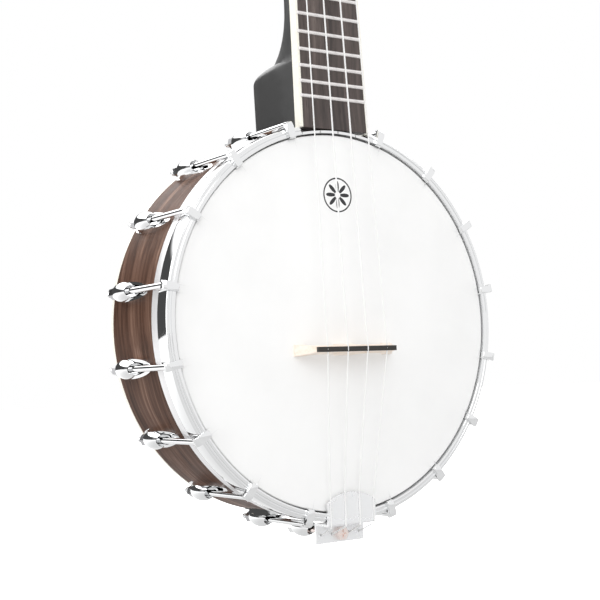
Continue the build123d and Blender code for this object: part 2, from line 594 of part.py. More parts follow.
# ---- tailpiece ----------------------------------------------------------------------------------------
def tailpiece():
    low, high = tail_arch()
    y = POT_Y
    end = FOLD_Z - TAIL_PLATE
    back = PLATE_FRONT + SHEET
    inner = FOLD_Z + SHEET
    fold = Polygon((y - SHEET, high), (y, high), (y, inner), (back, inner), (back, end),
                   (PLATE_FRONT, end), (PLATE_FRONT, FOLD_Z), (y - SHEET, FOLD_Z), align=None)
    bends = fold.vertices().sort_by(Axis.Y)
    outer = [v for v in bends if (abs(v.X - back) < TOUCH and abs(v.Y - inner) < TOUCH)
             or (abs(v.X - y + SHEET) < TOUCH and abs(v.Y - FOLD_Z) < TOUCH)]
    sheet = side(fillet(outer, TAIL_BEND), TAIL_HALF)
    arch = ThreePointArc((-TAIL_HALF, low), (0, high), (TAIL_HALF, low))
    skirt = Polyline((TAIL_HALF, low), (TAIL_HALF, end), (-TAIL_HALF, end), (-TAIL_HALF, low))
    sheet = sheet & slab(make_face([arch, skirt]), y - 20, y + 20)
    axis = POT_Z - TAIL_R
    sheet = sheet - rod_y(TAIL_BOLT_D / 2 + TOUCH, y - 9, y + 30, 0, axis)
    for k, x in enumerate(HOLE_XS):
        sheet = sheet - rod_y(STRING_R[k] + 0.25, y - 9, y + 30, x, axis)
    node("tailpiece", sheet)
    face = PLATE_FRONT
    head = Pos(0, face, axis) * Rot(90, 0, 0) * extrude(hexagon(TAIL_BOLT_HEAD), 2.6, dir=(0, 0, 1))
    head = head - block((-0.45, 0.45), (face - 3, face - 1.4), (axis - 2, axis + 2))
    head = head - block((-2, 2), (face - 3, face - 1.4), (axis - 0.45, axis + 0.45))
    eye_back = POT_Y + EYE_BACK
    node("tailpiece_bolt", head + rod_y(TAIL_BOLT_D / 2, face, eye_back + 7.5, 0, axis))
    nut = Pos(0, eye_back + 5, axis) * Rot(90, 0, 0) * extrude(hexagon(TAIL_BOLT_HEAD), 5, dir=(0, 0, 1))
    node("tailpiece_nut", nut - rod_y(TAIL_BOLT_D / 2 + TOUCH, -99, 99, 0, axis))


# ---- tuners -------------------------------------------------------------------------------------------
def tuner(k):
    """The pieces of tuner k in the headstock's frame, with its post at the origin and its button to +X."""
    gear_y = HEAD_T + PLATE_T + 0.4
    worm_y = gear_y + GEAR_T / 2
    worm_z = GEAR_R + WORM_R + 0.1
    back = HEAD_T + PLATE_T + COVER_D
    front = -VENEER - POST_RISE
    ear = abs(tuner_screw_offsets()[1])
    plate = Pos(0, 0, (ear + tuner_screw_offsets()[0]) / 2) * slab(
        RectangleRounded(2 * COVER_HALF, ear - tuner_screw_offsets()[0] + 5.2, 2.4), HEAD_T, HEAD_T + PLATE_T)
    plate = plate - rod_y(POST_R + AIR, 0, 40)
    screws = []
    for dh in tuner_screw_offsets():
        plate = plate - rod_y(1.2 + TOUCH, 0, 40, 0, dh)
        screws.append(rod_y(1.2, HEAD_T - 9, HEAD_T + PLATE_T, 0, dh)
                      + rod_y(2.2, HEAD_T + PLATE_T, HEAD_T + PLATE_T + 1.2, 0, dh))
    cover_top = worm_z + WORM_R + 2.0
    cover = block((-COVER_HALF, COVER_HALF), (HEAD_T + PLATE_T, back), (-COVER_HALF + 1, cover_top - 0.4))
    cover = fillet(cover.edges().filter_by(Axis.Y), 2.0)
    cover = fillet(cover.faces().sort_by(Axis.Y)[-1].edges(), 1.2)
    cover = cover - rod_y(GEAR_R + AIR, 0, gear_y + GEAR_T + AIR)
    cover = cover - rod_y(POST_NECK_R + AIR, 0, back - 1.2)
    cover = cover - rod_x(WORM_R + AIR, -WORM_L / 2 - AIR, WORM_L / 2 + AIR, worm_y, worm_z)
    cover = cover - rod_x(SHAFT_R + TOUCH, -WORM_L / 2 - 2, COVER_HALF + 5, worm_y, worm_z)
    post = rod_y(POST_R, front, gear_y) + rod_y(POST_NECK_R, gear_y, back - 1.2 - AIR)
    post = post - rod_x(0.8, -9, 9, front + 2.2)
    groove = rod_y(POST_R + 1, COIL_Y - GROOVE_L / 2, COIL_Y + GROOVE_L / 2)
    post = post - (groove - rod_y(POST_R - GROOVE_DEPTH, front, 0))
    gear = rod_y(GEAR_R, gear_y, gear_y + GEAR_T) - rod_y(POST_NECK_R + TOUCH, 0, 99)
    for n in range(GEAR_TEETH):
        slot = block((-0.42, 0.42), (gear_y - 1, gear_y + GEAR_T + 1), (GEAR_R - 0.9, GEAR_R + 1))
        gear = gear - turned(slot, 360 / GEAR_TEETH * (n + 0.5))
    edge = HEAD_HALF_WIDE - TUNER_X + BUTTON_CLEAR
    shaft = rod_x(SHAFT_R, -WORM_L / 2 - 1.8, edge + BUTTON_L * 0.7, worm_y, worm_z)
    core = rod_x(WORM_R - 0.5, -WORM_L / 2, WORM_L / 2, worm_y, worm_z)
    pitch = 2 * math.pi * GEAR_R / GEAR_TEETH
    for n in (-1.5, -0.5, 0.5, 1.5):
        core = core + rod_x(WORM_R, n * pitch - 0.45, n * pitch + 0.45, worm_y, worm_z)
    shape = Ellipse(BUTTON_L / 2, BUTTON_W / 2)
    button = Rot(90, 0, 0) * extrude(shape, BUTTON_T)
    button = Pos(edge + BUTTON_L / 2, worm_y + BUTTON_T / 2, worm_z) * button
    button = fillet(button.edges(), 2.2)
    button = button + rod_x(SHAFT_R + 1.3, edge - 0.6, edge + 3, worm_y, worm_z)
    button = button - rod_x(SHAFT_R + TOUCH / 5, edge - 5, edge + BUTTON_L * 0.7, worm_y, worm_z)
    r = STRING_R[k]
    coils = None
    for n in (-1, 0, 1):
        hoop = Pos(0, COIL_Y + n * 2 * r, 0) * Rot(90, 0, 0) * Torus(POST_R - GROOVE_DEPTH + r, r * 1.04)
        coils = hoop if coils is None else coils + hoop
    coils = coils - rod_y(POST_R - GROOVE_DEPTH, -99, 99)
    bushing = rod_y(BUSHING_R, -VENEER, HEAD_T * 0.7) + rod_y(BUSHING_FLANGE_R, -VENEER - 1.2, -VENEER)
    bushing = fillet(bushing.edges().sort_by(Axis.Y)[0], 0.8) - rod_y(POST_R + TOUCH, -99, 99)
    return dict(plate=plate, screws=screws, cover=cover, post=post, gear=gear, shaft=shaft + core,
                button=button, coils=coils, bushing=bushing)


def tuners():
    groups = {"tuner_plates": [], "tuner_covers": [], "tuner_bushings": [], "tuner_screws": []}
    for k, ((sx, row), (x, h)) in enumerate(zip(TUNERS, tuner_places())):
        p = tuner(k)

        def placed(shape):
            return HEAD * Pos(x, 0, h) * (shape if sx > 0 else mirror(shape, Plane.YZ))
        groups["tuner_plates"].append(placed(p["plate"]))
        groups["tuner_covers"].append(placed(p["cover"]))
        groups["tuner_bushings"].append(placed(p["bushing"]))
        groups["tuner_screws"] += [placed(s) for s in p["screws"]]
        node(f"tuner_post_{k + 1}", placed(p["post"]))
        node(f"tuner_gear_{k + 1}", placed(p["gear"]))
        node(f"string_winding_{k + 1}", placed(p["coils"]))
        node(f"tuner_shaft_{k + 1}", placed(p["shaft"]))
        node(f"tuner_button_{k + 1}", placed(p["button"]))
    for name, shapes in groups.items():
        node(name, shapes)


# ---- build --------------------------------------------------------------------------------------------
pot()
hardware()
neck()
fretboard()
veneer()
bridge_and_nut(strings())
tailpiece()
tuners()
os.makedirs("parts", exist_ok=True)
for name, shape in NODES.items():
    shape.label = name
    export_step(shape, os.path.join("parts", name + ".step"))
print(len(NODES), "nodes")
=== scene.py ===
# %% [markdown]
# # A banjo ukulele
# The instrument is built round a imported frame: every CAD node is already in place, in metres, with the
# middle of the nut at the origin, +Z up the neck and the drumhead facing -Y. This script gives each piece its
# finish, and makes again, with smooth curves and rounded edges, the pieces whose shape the eye rests on.

# %% Load the frame
import math

import bmesh
import bpy
from mathutils import Matrix, Vector
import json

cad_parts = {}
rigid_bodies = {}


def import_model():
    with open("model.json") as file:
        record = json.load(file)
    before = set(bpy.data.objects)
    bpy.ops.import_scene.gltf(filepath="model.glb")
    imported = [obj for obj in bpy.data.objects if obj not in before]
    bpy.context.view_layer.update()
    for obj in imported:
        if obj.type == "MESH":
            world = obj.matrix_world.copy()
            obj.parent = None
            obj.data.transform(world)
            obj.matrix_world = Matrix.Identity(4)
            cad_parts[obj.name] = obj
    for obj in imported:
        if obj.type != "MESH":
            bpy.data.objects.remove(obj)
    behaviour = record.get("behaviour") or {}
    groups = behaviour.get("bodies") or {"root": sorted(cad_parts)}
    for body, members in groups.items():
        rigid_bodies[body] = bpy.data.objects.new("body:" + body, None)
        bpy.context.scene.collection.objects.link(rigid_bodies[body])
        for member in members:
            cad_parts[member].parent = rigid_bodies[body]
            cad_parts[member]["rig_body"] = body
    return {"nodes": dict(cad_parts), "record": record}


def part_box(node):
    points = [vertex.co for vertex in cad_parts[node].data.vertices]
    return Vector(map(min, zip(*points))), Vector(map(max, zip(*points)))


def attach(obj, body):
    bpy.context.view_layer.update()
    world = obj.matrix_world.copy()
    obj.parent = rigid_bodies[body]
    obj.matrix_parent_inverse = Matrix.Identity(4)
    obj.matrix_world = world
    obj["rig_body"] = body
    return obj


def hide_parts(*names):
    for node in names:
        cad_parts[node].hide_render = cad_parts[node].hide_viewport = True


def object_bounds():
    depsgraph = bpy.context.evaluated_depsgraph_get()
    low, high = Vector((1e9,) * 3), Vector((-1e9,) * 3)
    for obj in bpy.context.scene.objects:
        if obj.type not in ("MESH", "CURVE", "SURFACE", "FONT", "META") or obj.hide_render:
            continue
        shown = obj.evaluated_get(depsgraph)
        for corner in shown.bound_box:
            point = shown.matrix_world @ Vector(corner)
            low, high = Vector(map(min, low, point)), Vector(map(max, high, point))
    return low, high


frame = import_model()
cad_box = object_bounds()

# %% [markdown]
# ## Measures
# A size that a CAD piece's box gives is read from the frame. Sizes that no box gives, such as the hoop's wall
# and the hooks' spacing, are written here as numbers. They match the CAD and change along with it by hand.
# The pot is round about an axis along Y, so a radius is half of a box's height.

# %% Read the pot's measures
MM = 0.001


def radius(node):
    low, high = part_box(node)
    return (high.z - low.z) / 2


def depth(node):
    low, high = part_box(node)
    return low.y, high.y


rim_low, rim_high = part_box("rim")
pot_r = radius("rim")
pot_back = rim_high.y
pot_centre = Vector((0, depth("tension_hoop")[0], (rim_low.z + rim_high.z) / 2))
hoop_r = radius("tension_hoop")
print(f"pot {2 * pot_r / MM:.0f} mm across, {(pot_back - pot_centre.y) / MM:.0f} mm deep")

# %% [markdown]
# ## Making pieces
# A piece is a bmesh that becomes an object, gets a material and rides on a body. The pieces made again are
# mostly profiles spun about the pot's axis. Other CAD nodes are copied. A copy's loose triangles are merged,
# its flat faces stay flat and its curves turn smooth, and it stands in for the node.

# %% Helpers that finish a piece
SHARP = math.radians(32)
MERGE_MADE = 0.001 * MM
MERGE_COPIED = 0.002 * MM
BEVEL_SEGMENTS = 2


def piece(name, bm, material, stands_for, body="banjo"):
    """Turn a bmesh into an object that rides on a body and stands for CAD nodes."""
    bmesh.ops.remove_doubles(bm, verts=bm.verts, dist=MERGE_MADE)
    bmesh.ops.recalc_face_normals(bm, faces=bm.faces)
    for face in bm.faces:
        face.smooth = True
    for edge in bm.edges:
        edge.smooth = len(edge.link_faces) == 2 and edge.calc_face_angle(0) < SHARP
    mesh = bpy.data.meshes.new(name)
    bm.to_mesh(mesh)
    bm.free()
    made = bpy.data.objects.new(name, mesh)
    bpy.context.scene.collection.objects.link(made)
    mesh.materials.append(material)
    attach(made, body)
    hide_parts(*stands_for)
    print(f"{name}: {len(mesh.polygons)} faces")
    return made


def polished(node, material, bevel=0.0):
    """A smooth-shaded copy of a CAD node, with its edges rounded where bevel is given."""
    bm = bmesh.new()
    bm.from_mesh(frame["nodes"][node].data)
    bmesh.ops.remove_doubles(bm, verts=bm.verts, dist=MERGE_COPIED)
    body = frame["nodes"][node]["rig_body"]
    made = piece(node + "_finished", bm, material, [node], body)
    if bevel:
        rounder = made.modifiers.new("rounded edges", "BEVEL")
        rounder.width = bevel
        rounder.segments = BEVEL_SEGMENTS
        rounder.limit_method = "ANGLE"
        rounder.angle_limit = SHARP
        rounder.harden_normals = True


# %% Spin a profile round the pot
ROUND = 256


def spun(bm, profile, centre=pot_centre, steps=ROUND):
    """Spin a closed profile of (radius, depth) points; depth runs along +Y from the hoop's front."""
    verts = [bm.verts.new(centre + Vector((r, y, 0))) for r, y in profile]
    edges = [bm.edges.new((a, b)) for a, b in zip(verts, verts[1:] + verts[:1])]
    bmesh.ops.spin(bm, geom=verts + edges, cent=centre, axis=(0, 1, 0), angle=2 * math.pi, steps=steps,
                   use_merge=True)
    return bm


# %% [markdown]
# ## Finishes
# Materials are built from nodes and read Object coordinates, which here are metres in the frame. Four effects
# are node groups because several finishes share them: coordinates that run round the pot, wood grain, light
# handling marks and a fine tooth. A fifth group draws the ornament on the drumhead.

# %% Node helpers
def add(tree, kind, **settings):
    """Add a shader node; a setting is one of its properties or, by name, one of its inputs."""
    made = tree.nodes.new("ShaderNode" + kind)
    for key, value in settings.items():
        if key in made.bl_rna.properties:
            setattr(made, key, value)
        else:
            made.inputs[key.replace("_", " ")].default_value = value
    return made


def effect(name, inputs, outputs):
    """A node group with named sockets, given as (label, kind, default) and (label, kind)."""
    group = bpy.data.node_groups.new(name, "ShaderNodeTree")
    for label, kind, value in inputs:
        socket = group.interface.new_socket(label, in_out="INPUT", socket_type="NodeSocket" + kind)
        if value is not None:
            socket.default_value = value
    for label, kind in outputs:
        group.interface.new_socket(label, in_out="OUTPUT", socket_type="NodeSocket" + kind)
    return group, group.nodes.new("NodeGroupInput").outputs, group.nodes.new("NodeGroupOutput").inputs


def math_node(tree, operation, a, b=None, clamp=False):
    made = add(tree, "Math", operation=operation, use_clamp=clamp)
    for socket, value in zip(made.inputs, (a, b)):
        if hasattr(value, "is_output"):
            tree.links.new(value, socket)
        elif value is not None:
            socket.default_value = value
    return made.outputs[0]


def noise_node(tree, vector, scale, detail=3.0, roughness=0.55, distortion=0.0):
    made = add(tree, "TexNoise", Scale=scale, Detail=detail, Roughness=roughness, Distortion=distortion)
    tree.links.new(vector, made.inputs["Vector"])
    return made.outputs[0]


def stretched(tree, vector, scale):
    made = add(tree, "Mapping", Scale=scale)
    tree.links.new(vector, made.inputs["Vector"])
    return made.outputs[0]


def ramp(tree, value, stops):
    """A colour ramp from (place, colour) stops."""
    made = add(tree, "ValToRGB")
    while len(made.color_ramp.elements) < len(stops):
        made.color_ramp.elements.new(0.5)
    for element, (place, colour) in zip(made.color_ramp.elements, stops):
        element.position = place
        element.color = (*colour, 1)
    tree.links.new(value, made.inputs[0])
    return made.outputs[0]


def spread(tree, value, low, high):
    """Map 0 to 1 onto low to high."""
    made = add(tree, "MapRange", To_Min=low, To_Max=high)
    tree.links.new(value, made.inputs[0])
    return made.outputs[0]


# %% Effect: coordinates that run round the pot
def make_round_coordinates():
    group, given, out = effect("round coordinates", [("Vector", "Vector", None)], [("Vector", "Vector")])
    moved = add(group, "VectorMath", operation="SUBTRACT")
    moved.inputs[1].default_value = pot_centre
    group.links.new(given["Vector"], moved.inputs[0])
    split = add(group, "SeparateXYZ")
    group.links.new(moved.outputs[0], split.inputs[0])
    x, y, z = split.outputs
    turn = math_node(group, "ARCTAN2", x, math_node(group, "MULTIPLY", z, -1.0))
    around = math_node(group, "MULTIPLY", turn, pot_r)
    out_r = math_node(group, "SQRT", math_node(group, "ADD", math_node(group, "MULTIPLY", x, x),
                                               math_node(group, "MULTIPLY", z, z)))
    joined = add(group, "CombineXYZ")
    for socket, value in zip(joined.inputs, (around, y, out_r)):
        group.links.new(value, socket)
    group.links.new(joined.outputs[0], out["Vector"])
    return group


round_coordinates = make_round_coordinates()


# %% Effect: wood grain that runs along the vector's X
def make_grain():
    group, given, out = effect(
        "wood grain", [("Vector", "Vector", None), ("Figure", "Float", 1.0)],
        [("Streaks", "Float"), ("Pores", "Float"), ("Height", "Float")])
    vector = given["Vector"]
    wander = add(group, "TexNoise", Scale=9.0, Detail=2.0)
    group.links.new(vector, wander.inputs["Vector"])
    bend = add(group, "VectorMath", operation="SCALE")
    group.links.new(wander.outputs["Color"], bend.inputs[0])
    group.links.new(math_node(group, "MULTIPLY", given["Figure"], 0.012), bend.inputs["Scale"])
    wavy = add(group, "VectorMath", operation="ADD")
    group.links.new(vector, wavy.inputs[0])
    group.links.new(bend.outputs[0], wavy.inputs[1])
    broad = noise_node(group, stretched(group, wavy.outputs[0], (5.0, 90.0, 90.0)), 1.0, 4.0, 0.6)
    fine = noise_node(group, stretched(group, wavy.outputs[0], (14.0, 520.0, 520.0)), 1.0, 3.0, 0.6)
    pores = noise_node(group, stretched(group, vector, (110.0, 1900.0, 1900.0)), 1.0, 2.0, 0.5)
    mix = math_node(group, "ADD", math_node(group, "MULTIPLY", broad, 0.62),
                    math_node(group, "MULTIPLY", fine, 0.38))
    streaks = math_node(group, "MULTIPLY", math_node(group, "SUBTRACT", mix, 0.36), 3.4, clamp=True)
    pits = math_node(group, "MULTIPLY", math_node(group, "SUBTRACT", pores, 0.6), 6.0, clamp=True)
    group.links.new(streaks, out["Streaks"])
    group.links.new(pits, out["Pores"])
    height = math_node(group, "SUBTRACT", math_node(group, "MULTIPLY", fine, 0.3), pits)
    group.links.new(height, out["Height"])
    return group


grain = make_grain()


# %% Effect: handling marks, and a fine tooth
def make_handling():
    group, given, out = effect("handling marks", [("Vector", "Vector", None)],
                               [("Smudge", "Float"), ("Scratch", "Float")])
    cloud = noise_node(group, given["Vector"], 38.0, 4.0, 0.6, 0.6)
    smudge = math_node(group, "MULTIPLY", math_node(group, "SUBTRACT", cloud, 0.42), 3.5, clamp=True)
    rub = add(group, "Mapping", Rotation=(0.5, 0.9, 0.3), Scale=(60.0, 2400.0, 900.0))
    group.links.new(given["Vector"], rub.inputs["Vector"])
    group.links.new(smudge, out["Smudge"])
    group.links.new(noise_node(group, rub.outputs[0], 1.0, 2.0), out["Scratch"])
    return group


handling = make_handling()


def make_tooth():
    group, given, out = effect("fine tooth", [("Vector", "Vector", None), ("Scale", "Float", 3000.0)],
                               [("Height", "Float")])
    made = add(group, "TexNoise", Detail=3.0, Roughness=0.65)
    group.links.new(given["Vector"], made.inputs["Vector"])
    group.links.new(given["Scale"], made.inputs["Scale"])
    group.links.new(made.outputs[0], out["Height"])
    return group


tooth = make_tooth()


# %% [markdown]
# The ornament printed on the drumhead is a ring round eight petals. Its mask is drawn from the distance and
# the turn about the ornament's middle, so it stays crisp at any size.

# %% Effect: the printed ornament
ORNAMENT_MIDDLE = pot_centre + Vector((0.7, 0, 66.6)) * MM
ORNAMENT_RADIUS = 8.8 * MM
PETALS = 8
# the next three are shares of the radius
RING_HALF_WIDTH = 0.045
PETAL_LENGTH = 0.84
HUB_RADIUS = 0.2


def make_rosette():
    group, given, out = effect("rosette", [("Vector", "Vector", None), ("Radius", "Float", ORNAMENT_RADIUS)],
                               [("Ink", "Float")])
    moved = add(group, "VectorMath", operation="SUBTRACT")
    moved.inputs[1].default_value = ORNAMENT_MIDDLE
    group.links.new(given["Vector"], moved.inputs[0])
    split = add(group, "SeparateXYZ")
    group.links.new(moved.outputs[0], split.inputs[0])
    x, _, z = split.outputs
    far = math_node(group, "SQRT", math_node(group, "ADD", math_node(group, "MULTIPLY", x, x),
                                             math_node(group, "MULTIPLY", z, z)))
    share = math_node(group, "DIVIDE", far, given["Radius"])
    off_ring = math_node(group, "ABSOLUTE", math_node(group, "SUBTRACT", share, 1.0))
    ring = math_node(group, "LESS_THAN", off_ring, RING_HALF_WIDTH)
    turn = math_node(group, "MULTIPLY", math_node(group, "ARCTAN2", x, z), PETALS / 2)
    wave = math_node(group, "ABSOLUTE", math_node(group, "COSINE", turn))
    inside = math_node(group, "LESS_THAN", share, math_node(group, "MULTIPLY", wave, PETAL_LENGTH))
    past_hub = math_node(group, "GREATER_THAN", share, HUB_RADIUS)
    ink = math_node(group, "MAXIMUM", ring, math_node(group, "MULTIPLY", inside, past_hub))
    group.links.new(ink, out["Ink"])
    return group


rosette = make_rosette()
print("effects:", [g.name for g in bpy.data.node_groups])


# %% Start a material
class Finish:
    """A material with its tree, its Principled shader and the object's own coordinates."""

    def __init__(self, name, **constants):
        self.material = bpy.data.materials.new(name)
        self.material.use_nodes = True
        self.tree = self.material.node_tree
        self.shader = self.tree.nodes["Principled BSDF"]
        for key, value in constants.items():
            self.shader.inputs[key.replace("_", " ")].default_value = value
        self.place = self.tree.nodes.new("ShaderNodeTexCoord").outputs["Object"]

    def use(self, group, vector=None, **values):
        made = self.tree.nodes.new("ShaderNodeGroup")
        made.node_tree = group
        self.tree.links.new(self.place if vector is None else vector, made.inputs["Vector"])
        for key, value in values.items():
            made.inputs[key].default_value = value
        return made.outputs

    def feed(self, name, value):
        self.tree.links.new(value, self.shader.inputs[name])

    def bump(self, height, strength, distance):
        made = add(self.tree, "Bump", Strength=strength, Distance=distance)
        self.tree.links.new(height, made.inputs["Height"])
        before = self.shader.inputs["Normal"].links
        if before:
            self.tree.links.new(before[0].from_socket, made.inputs["Normal"])
        self.tree.links.new(made.outputs[0], self.shader.inputs["Normal"])


# %% [markdown]
# ## Metals
# Plated steel is a mirror with very little of its own colour. What makes it read as metal is what it
# reflects, so the lights matter more than the nodes. The nodes only add faint cloudy smudges and polishing
# lines.

# %% Plated steel, nickel silver, brass and spun aluminium
def metal(name, colour, rough_low, rough_high, scratch=0.02, metallic=1.0):
    made = Finish(name, Base_Color=(*colour, 1), Metallic=metallic)
    marks = made.use(handling)
    made.feed("Roughness", spread(made.tree, marks["Smudge"], rough_low, rough_high))
    made.bump(marks["Scratch"], scratch, 0.00004)
    return made.material


chrome = metal("chrome plate", (0.88, 0.885, 0.89), 0.035, 0.10)
sheet_chrome = metal("plated sheet", (0.93, 0.935, 0.945), 0.22, 0.32, metallic=0.6)
# painted shade: the hook nuts get a dark grey in place of chrome, to stand in for the shade they sit in
painted_shade_nut = metal("plated nut with painted shade", (0.42, 0.42, 0.43), 0.18, 0.3)
warm_nickel = metal("warm nickel", (0.93, 0.82, 0.78), 0.16, 0.26)
zinc = metal("zinc plate", (0.66, 0.66, 0.67), 0.22, 0.36, 0.05)
nickel = metal("nickel silver", (0.90, 0.87, 0.86), 0.16, 0.28, metallic=0.8)
brass = metal("brass", (0.80, 0.60, 0.30), 0.18, 0.30)


def make_spun_aluminium():
    made = Finish("spun aluminium", Base_Color=(0.84, 0.835, 0.84, 1), Metallic=0.35)
    around = made.use(round_coordinates)["Vector"]
    lines = noise_node(made.tree, stretched(made.tree, around, (30.0, 5200.0, 5200.0)), 1.0, 2.0)
    made.feed("Roughness", spread(made.tree, lines, 0.26, 0.42))
    made.bump(lines, 0.12, 0.00006)
    return made.material


spun_aluminium = make_spun_aluminium()

# %% [markdown]
# ## Wood
# Each wooden piece shares the grain effect. The rim is bent from a strip, so its grain runs round the pot and
# reads the round coordinates. The neck's lacquer hides its grain almost wholly.

# %% Walnut rim, rosewood, maple, ebony and the black neck
PORE_DEPTH = 0.06 * MM


def wood(name, stops, rough, round_pot=False, turn=(0, 0, 0), figure=1.0, pore_shade=0.5, gloss=0.5):
    made = Finish(name, Specular_IOR_Level=gloss)
    tree = made.tree
    if round_pot:
        along = made.use(round_coordinates)["Vector"]
    else:
        along = add(tree, "Mapping", Rotation=turn)
        tree.links.new(made.place, along.inputs["Vector"])
        along = along.outputs[0]
    shape = made.use(grain, along, Figure=figure)
    colour = ramp(tree, shape["Streaks"], stops)
    darker = add(tree, "Mix", data_type="RGBA", blend_type="MULTIPLY")
    tree.links.new(math_node(tree, "MULTIPLY", shape["Pores"], pore_shade), darker.inputs["Factor"])
    tree.links.new(colour, darker.inputs["A"])
    darker.inputs["B"].default_value = (0.25, 0.2, 0.18, 1)
    made.feed("Base Color", darker.outputs["Result"])
    marks = made.use(handling)
    made.feed("Roughness", spread(tree, marks["Smudge"], rough, rough + 0.12))
    made.bump(shape["Height"], 0.5, PORE_DEPTH)
    return made.material


UP_GRAIN = (0, math.pi / 2, 0)
walnut = wood("satin walnut", [(0.0, (0.044, 0.021, 0.013)), (0.35, (0.090, 0.046, 0.031)),
                               (0.7, (0.145, 0.080, 0.056)), (1.0, (0.27, 0.165, 0.12))],
              0.36, round_pot=True, figure=1.9, gloss=0.06)
rosewood = wood("oiled rosewood", [(0.0, (0.035, 0.026, 0.024)), (0.5, (0.085, 0.064, 0.058)),
                                   (1.0, (0.16, 0.125, 0.11))], 0.45, turn=UP_GRAIN, pore_shade=0.75)
maple = wood("bare maple", [(0.0, (0.84, 0.66, 0.52)), (0.5, (0.93, 0.80, 0.69)), (1.0, (0.97, 0.90, 0.82))],
             0.5, figure=0.6, pore_shade=0.12)
ebony = wood("ebony", [(0.0, (0.010, 0.009, 0.008)), (1.0, (0.035, 0.030, 0.026))], 0.3, figure=0.6)


def make_black_lacquer():
    made = Finish("black satin lacquer", Base_Color=(0.045, 0.045, 0.045, 1), Specular_IOR_Level=0.7)
    marks = made.use(handling)
    made.feed("Roughness", spread(made.tree, marks["Smudge"], 0.34, 0.46))
    made.bump(made.use(grain)["Height"], 0.15, 0.00003)
    made.bump(made.use(tooth, Scale=1400.0)["Height"], 0.10, 0.00005)
    return made.material


black_lacquer = make_black_lacquer()


# %% [markdown]
# ## Film, nylon and plastics
# The drumhead is a polyester film with a sprayed coat: bright, matt, with a very fine tooth. The binding is
# cream plastic with faint drawn lines, the strings are white nylon, and the buttons and dots are pearl.

# %% Film, binding, nylon and pearl
def make_film():
    made = Finish("coated film", Base_Color=(0.93, 0.93, 0.925, 1), Specular_IOR_Level=0.35)
    tree = made.tree
    cloud = noise_node(tree, made.place, 26.0, 4.0, 0.6)
    printed = add(tree, "Mix", data_type="RGBA")
    tree.links.new(made.use(rosette)["Ink"], printed.inputs["Factor"])
    white = ramp(tree, cloud, [(0.3, (0.92, 0.92, 0.915)), (0.7, (0.96, 0.96, 0.955))])
    tree.links.new(white, printed.inputs["A"])
    printed.inputs["B"].default_value = (0.035, 0.035, 0.038, 1)
    made.feed("Base Color", printed.outputs["Result"])
    made.feed("Roughness", spread(tree, cloud, 0.42, 0.56))
    made.bump(made.use(tooth, Scale=2600.0)["Height"], 0.35, 0.00006)
    return made.material


DRAWN_LINES = (1500.0, 1500.0, 40.0)


def plastic(name, low, high, rough, **constants):
    made = Finish(name, **constants)
    tree = made.tree
    lines = noise_node(tree, stretched(tree, made.place, DRAWN_LINES), 1.0, 3.0)
    made.feed("Base Color", ramp(tree, lines, [(0.3, low), (0.7, high)]))
    made.feed("Roughness", spread(tree, made.use(handling)["Smudge"], rough, rough + 0.14))
    made.bump(lines, 0.08, 0.00003)
    return made.material


film = make_film()
ivoroid = plastic("cream binding", (0.95, 0.92, 0.80), (0.97, 0.95, 0.88), 0.22)
nylon = plastic("white nylon", (0.92, 0.92, 0.91), (0.96, 0.96, 0.955), 0.4, Transmission_Weight=0.1,
                IOR=1.53)


def make_pearl():
    made = Finish("pearl", Coat_Weight=0.6, Coat_Roughness=0.05)
    tree = made.tree
    swirl = noise_node(tree, made.place, 160.0, 3.0, 0.5, 2.4)
    made.feed("Base Color", ramp(tree, swirl, [(0.3, (0.74, 0.76, 0.76)), (0.5, (0.92, 0.90, 0.86)),
                                               (0.7, (0.80, 0.84, 0.82))]))
    made.feed("Roughness", spread(tree, swirl, 0.12, 0.3))
    made.bump(swirl, 0.05, 0.0001)
    return made.material


pearl = make_pearl()
print(len(bpy.data.materials), "materials")

# %% [markdown]
# ## The pot's rings
# The two hoops and the drumhead are made again here. Each is a profile spun round the pot's axis, with small
# rounds drawn into the profile, so that the metal catches a line of light along each edge. The rim, the edge
# strip and the tone ring stay as the CAD has them.

# %% Round the corners of a profile
def eased(points, sizes, steps=3):
    """The profile with each corner rounded by its size."""
    out = []
    count = len(points)
    for k, (point, size) in enumerate(zip(points, sizes)):
        here = Vector(point)
        if not size:
            out.append(tuple(here))
            continue
        before = (Vector(points[k - 1]) - here).normalized()
        after = (Vector(points[(k + 1) % count]) - here).normalized()
        a, b = here + before * size, here + after * size
        for n in range(steps + 1):
            t = n / steps
            out.append(tuple(a.lerp(here, t).lerp(here.lerp(b, t), t)))
    return out


# %% Measures of the rings
HOOP_WALL = 4.6 * MM
NOTCH_LIP = 1.4 * MM
NOTCH_FLOOR = 6.2 * MM
NOTCH_SIDE = 0.4 * MM
FLESH_AIR = 0.02 * MM

hoop_inner = hoop_r - HOOP_WALL
hoop_back = depth("tension_hoop")[1] - pot_centre.y
film_front, film_back = [y - pot_centre.y for y in depth("drumhead")]
collar_r = radius("drumhead")
flesh_r = radius("flesh_hoop")
flesh_front, flesh_back = [y - pot_centre.y for y in depth("flesh_hoop")]
notch_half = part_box("fretboard_binding")[1].x + NOTCH_SIDE
print(f"hoop wall {(hoop_r - hoop_inner) / MM:.1f} mm, notch {2 * notch_half / MM:.1f} mm wide")

# %% [markdown]
# ## The tension hoop
# The hoop has a notch at the top for the fretboard's end. Its profile is spun in two arcs, a long one of the
# full profile and a short one with the outer front corner cut down, and each arc is closed at its ends.

